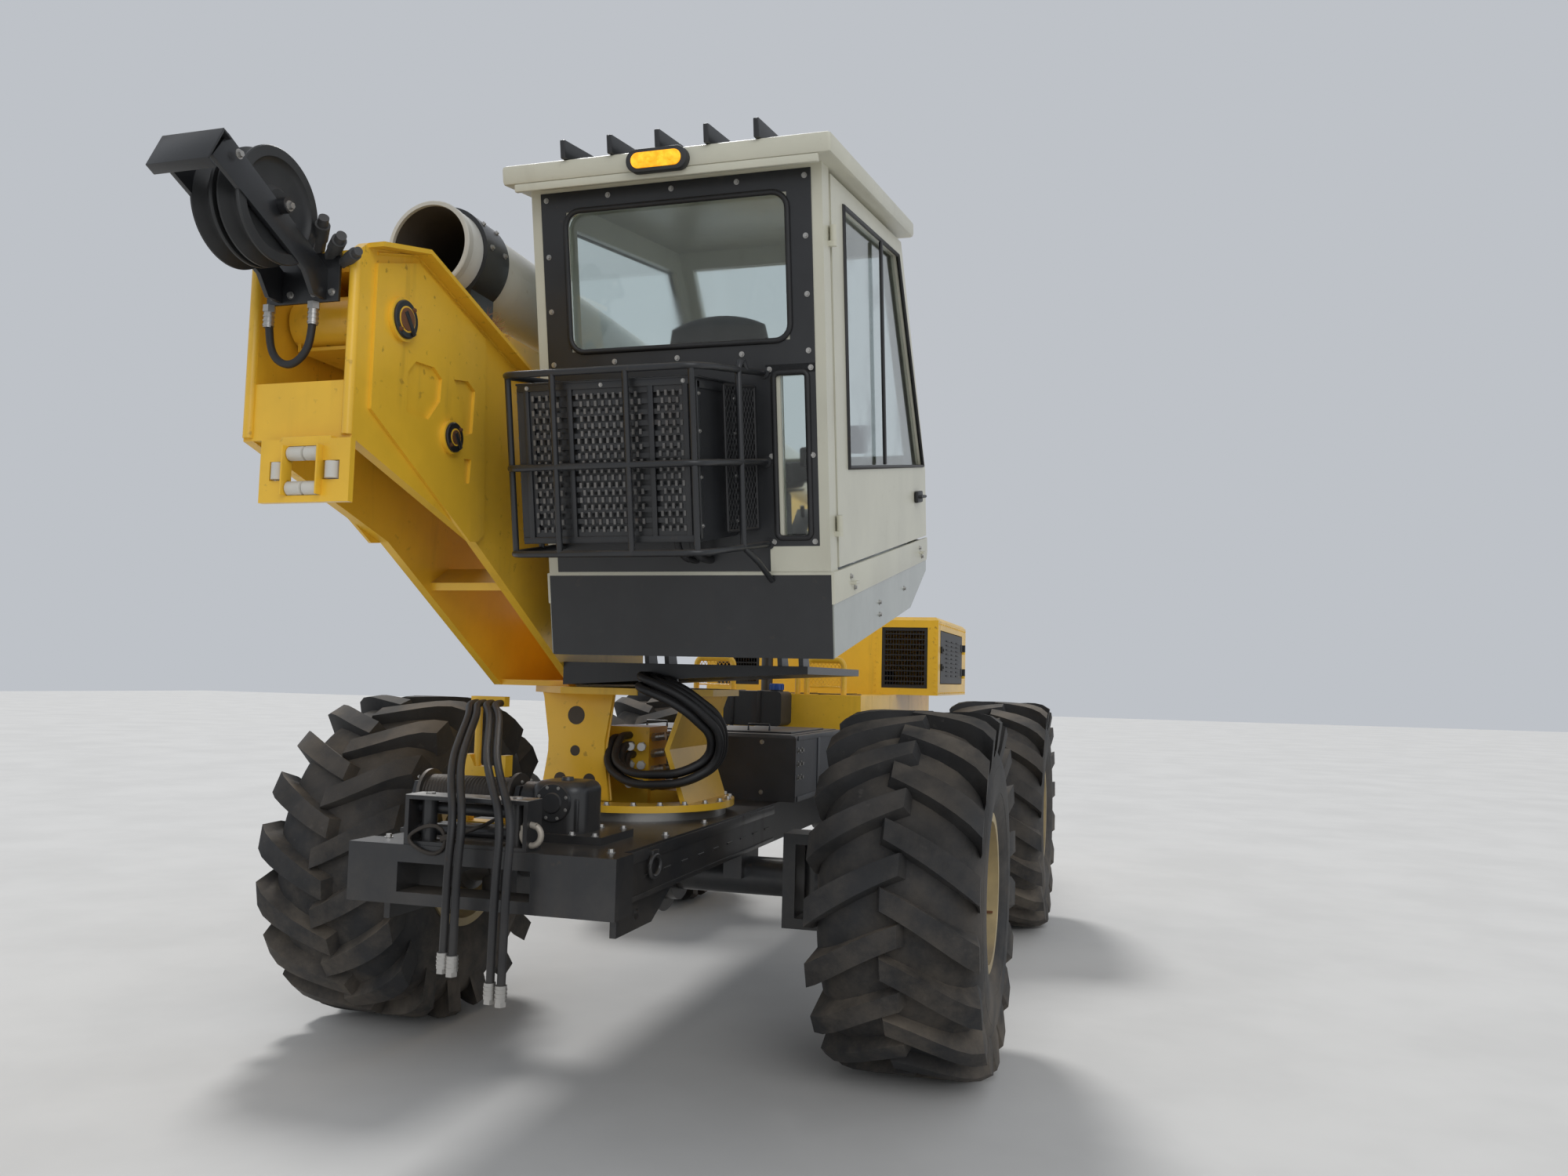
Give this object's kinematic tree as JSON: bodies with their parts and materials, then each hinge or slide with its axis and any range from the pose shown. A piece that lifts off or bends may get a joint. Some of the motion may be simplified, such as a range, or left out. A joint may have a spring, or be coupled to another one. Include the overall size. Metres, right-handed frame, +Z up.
{
  "type": "tree trimming machine",
  "caption": "Wheeled all-terrain tree trimming machine: slewing turret with tilting cab, lifting boom with a sliding white tube and a folding saw, winch end and engine bay.",
  "frame": {"origin": "centre of the machine's box, on the ground", "axes": "+X to the right, +Y along the stowed boom from the winch end to the engine end, +Z up"},
  "size_m": [3.374, 11.45, 4.0293],
  "materials": {
    "yellow_paint": "gloss",
    "black_paint": "satin",
    "grey_steel": "satin",
    "rope_steel": "dull",
    "bare_steel": "machined",
    "black_plastic": "matt",
    "white_fibreglass": "gloss",
    "ivory_paint": "satin",
    "cab_glass": "clear",
    "seat_fabric": "woven",
    "amber_lens": "clear",
    "black_rubber": "matt",
    "mesh_steel": "satin",
    "cast_iron": "rough",
    "tyre_rubber": "matt",
    "rusty_rim": "worn"
  },
  "bodies": {
    "carrier": {"chassis_frame": "black_paint", "deck_box": "grey_steel", "winch_axle": "black_paint", "engine_axle": "black_paint", "winch_housing": "black_paint", "fairlead": "black_paint", "slew_ring": "bare_steel", "engine_bay": "yellow_paint", "engine_grilles": "mesh_steel", "engine_block": "cast_iron", "fuel_tank": "black_plastic", "handrails": "yellow_paint", "hose_stand": "yellow_paint", "free_hose_1": "black_rubber", "free_hose_2": "black_rubber", "free_hose_3": "black_rubber", "free_hose_4": "black_rubber"},
    "winch_drum": {"winch_drum": "rope_steel"},
    "turret": {"pedestal": "yellow_paint", "turret": "yellow_paint", "roller_guide": "yellow_paint", "cab_carrier": "black_paint", "hose_bundle": "black_rubber", "sheave_bracket": "black_paint"},
    "sheave_left": {"sheave_left": "black_plastic"},
    "sheave_right": {"sheave_right": "black_plastic"},
    "boom": {"boom_box": "yellow_paint"},
    "tube": {"insulating_tube": "white_fibreglass", "tube_carriage": "black_paint", "saw_head": "yellow_paint"},
    "saw_arm": {"saw_arm": "yellow_paint"},
    "saw_blade": {"saw_blade": "bare_steel"},
    "lift_barrel": {"lift_barrel": "black_paint"},
    "lift_rod": {"lift_rod": "bare_steel"},
    "cab": {"cab_base": "black_paint", "cab_rear": "ivory_paint", "cab_left": "ivory_paint", "cab_front": "ivory_paint", "cab_roof": "ivory_paint", "cab_glass": "cab_glass", "seat": "seat_fabric", "cooling_unit": "black_paint", "unit_cage": "black_paint", "rear_lamp": "amber_lens"},
    "cab_door": {"cab_door": "ivory_paint", "door_glass": "cab_glass"},
    "engine_door_left": {"engine_door_left": "mesh_steel"},
    "engine_door_right": {"engine_door_right": "mesh_steel"},
    "knuckle_winch_left": {"knuckle_winch_left": "black_paint"},
    "wheel_winch_left": {"rim_winch_left": "rusty_rim", "tyre_winch_left": "tyre_rubber"},
    "knuckle_winch_right": {"knuckle_winch_right": "black_paint"},
    "wheel_winch_right": {"rim_winch_right": "rusty_rim", "tyre_winch_right": "tyre_rubber"},
    "knuckle_engine_left": {"knuckle_engine_left": "black_paint"},
    "wheel_engine_left": {"rim_engine_left": "rusty_rim", "tyre_engine_left": "tyre_rubber"},
    "knuckle_engine_right": {"knuckle_engine_right": "black_paint"},
    "wheel_engine_right": {"rim_engine_right": "rusty_rim", "tyre_engine_right": "tyre_rubber"}
  },
  "joints": [
    {"name": "steer_winch_left", "type": "hinge", "parent": "carrier", "child": "knuckle_winch_left", "pos_m": [-0.85, -2.875, 0.8075], "axis": [0, 0, 1], "range_deg": [-25, 25]},
    {"name": "spin_winch_left", "type": "hinge", "parent": "knuckle_winch_left", "child": "wheel_winch_left", "pos_m": [-1.33, -2.875, 0.8075], "axis": [1, 0, 0], "continuous": true},
    {"name": "steer_winch_right", "type": "hinge", "parent": "carrier", "child": "knuckle_winch_right", "pos_m": [0.85, -2.875, 0.8075], "axis": [0, 0, 1], "range_deg": [-25, 25]},
    {"name": "spin_winch_right", "type": "hinge", "parent": "knuckle_winch_right", "child": "wheel_winch_right", "pos_m": [1.33, -2.875, 0.8075], "axis": [1, 0, 0], "continuous": true},
    {"name": "steer_engine_left", "type": "hinge", "parent": "carrier", "child": "knuckle_engine_left", "pos_m": [-0.85, 0.575, 0.8075], "axis": [0, 0, 1], "range_deg": [-25, 25]},
    {"name": "spin_engine_left", "type": "hinge", "parent": "knuckle_engine_left", "child": "wheel_engine_left", "pos_m": [-1.33, 0.575, 0.8075], "axis": [1, 0, 0], "continuous": true},
    {"name": "steer_engine_right", "type": "hinge", "parent": "carrier", "child": "knuckle_engine_right", "pos_m": [0.85, 0.575, 0.8075], "axis": [0, 0, 1], "range_deg": [-25, 25]},
    {"name": "spin_engine_right", "type": "hinge", "parent": "knuckle_engine_right", "child": "wheel_engine_right", "pos_m": [1.33, 0.575, 0.8075], "axis": [1, 0, 0], "continuous": true},
    {"name": "turret_slew", "type": "hinge", "parent": "carrier", "child": "turret", "pos_m": [0, -3.125, 1.11], "axis": [0, 0, 1], "range_deg": [-175, 175]},
    {"name": "boom_lift", "type": "hinge", "parent": "turret", "child": "boom", "pos_m": [-0.37, -4.925, 2.94], "axis": [1, 0, 0], "range_deg": [0, 70]},
    {"name": "tube_extend", "type": "slide", "parent": "boom", "child": "tube", "axis": [0, 1, 0], "range_m": [0, 5.6]},
    {"name": "saw_fold", "type": "hinge", "parent": "tube", "child": "saw_arm", "pos_m": [-0.37, 5.275, 3.062], "axis": [1, 0, 0], "range_deg": [0, 180]},
    {"name": "saw_spin", "type": "hinge", "parent": "saw_arm", "child": "saw_blade", "pos_m": [-0.615, 4.555, 3.062], "axis": [1, 0, 0], "continuous": true},
    {"name": "lift_barrel_pivot", "type": "hinge", "parent": "turret", "child": "lift_barrel", "pos_m": [-0.37, -4.595, 2.6], "axis": [1, 0, 0], "range_deg": [0, 72]},
    {"name": "lift_rod_slide", "type": "slide", "parent": "lift_barrel", "child": "lift_rod", "axis": [0, 0.9975, 0.0713], "range_m": [0, 0.5519]},
    {"name": "sheave_left_spin", "type": "hinge", "parent": "turret", "child": "sheave_left", "pos_m": [-0.418, -5.382, 3.17], "axis": [1, 0, 0], "continuous": true},
    {"name": "sheave_right_spin", "type": "hinge", "parent": "turret", "child": "sheave_right", "pos_m": [-0.322, -5.382, 3.17], "axis": [1, 0, 0], "continuous": true},
    {"name": "winch_spin", "type": "hinge", "parent": "carrier", "child": "winch_drum", "pos_m": [-0.274, -4.105, 1.255], "axis": [1, 0, 0], "continuous": true},
    {"name": "cab_tilt", "type": "hinge", "parent": "turret", "child": "cab", "pos_m": [0.584, -3.59997, 1.96053], "axis": [1, 0, 0], "range_deg": [-10.5, 9.5]},
    {"name": "cab_door_hinge", "type": "hinge", "parent": "cab", "child": "cab_door", "pos_m": [1.187, -4.08244, 2.72542], "axis": [0, 0.1822, -0.9833], "range_deg": [0, 80]},
    {"name": "engine_door_left_hinge", "type": "hinge", "parent": "carrier", "child": "engine_door_left", "pos_m": [-0.915, 1.601, 1.9], "axis": [0, 0, -1], "range_deg": [0, 100]},
    {"name": "engine_door_right_hinge", "type": "hinge", "parent": "carrier", "child": "engine_door_right", "pos_m": [0.915, 1.601, 1.9], "axis": [0, 0, 1], "range_deg": [0, 100]}
  ],
  "couplings": [
    {"joint": "lift_barrel_pivot", "follows": "boom_lift", "ratio": 1.015},
    {"joint": "lift_rod_slide", "follows": "boom_lift", "m_per_rad": 0.44352},
    {"joint": "steer_winch_right", "follows": "steer_winch_left", "ratio": 1},
    {"joint": "steer_engine_right", "follows": "steer_engine_left", "ratio": 1}
  ]
}
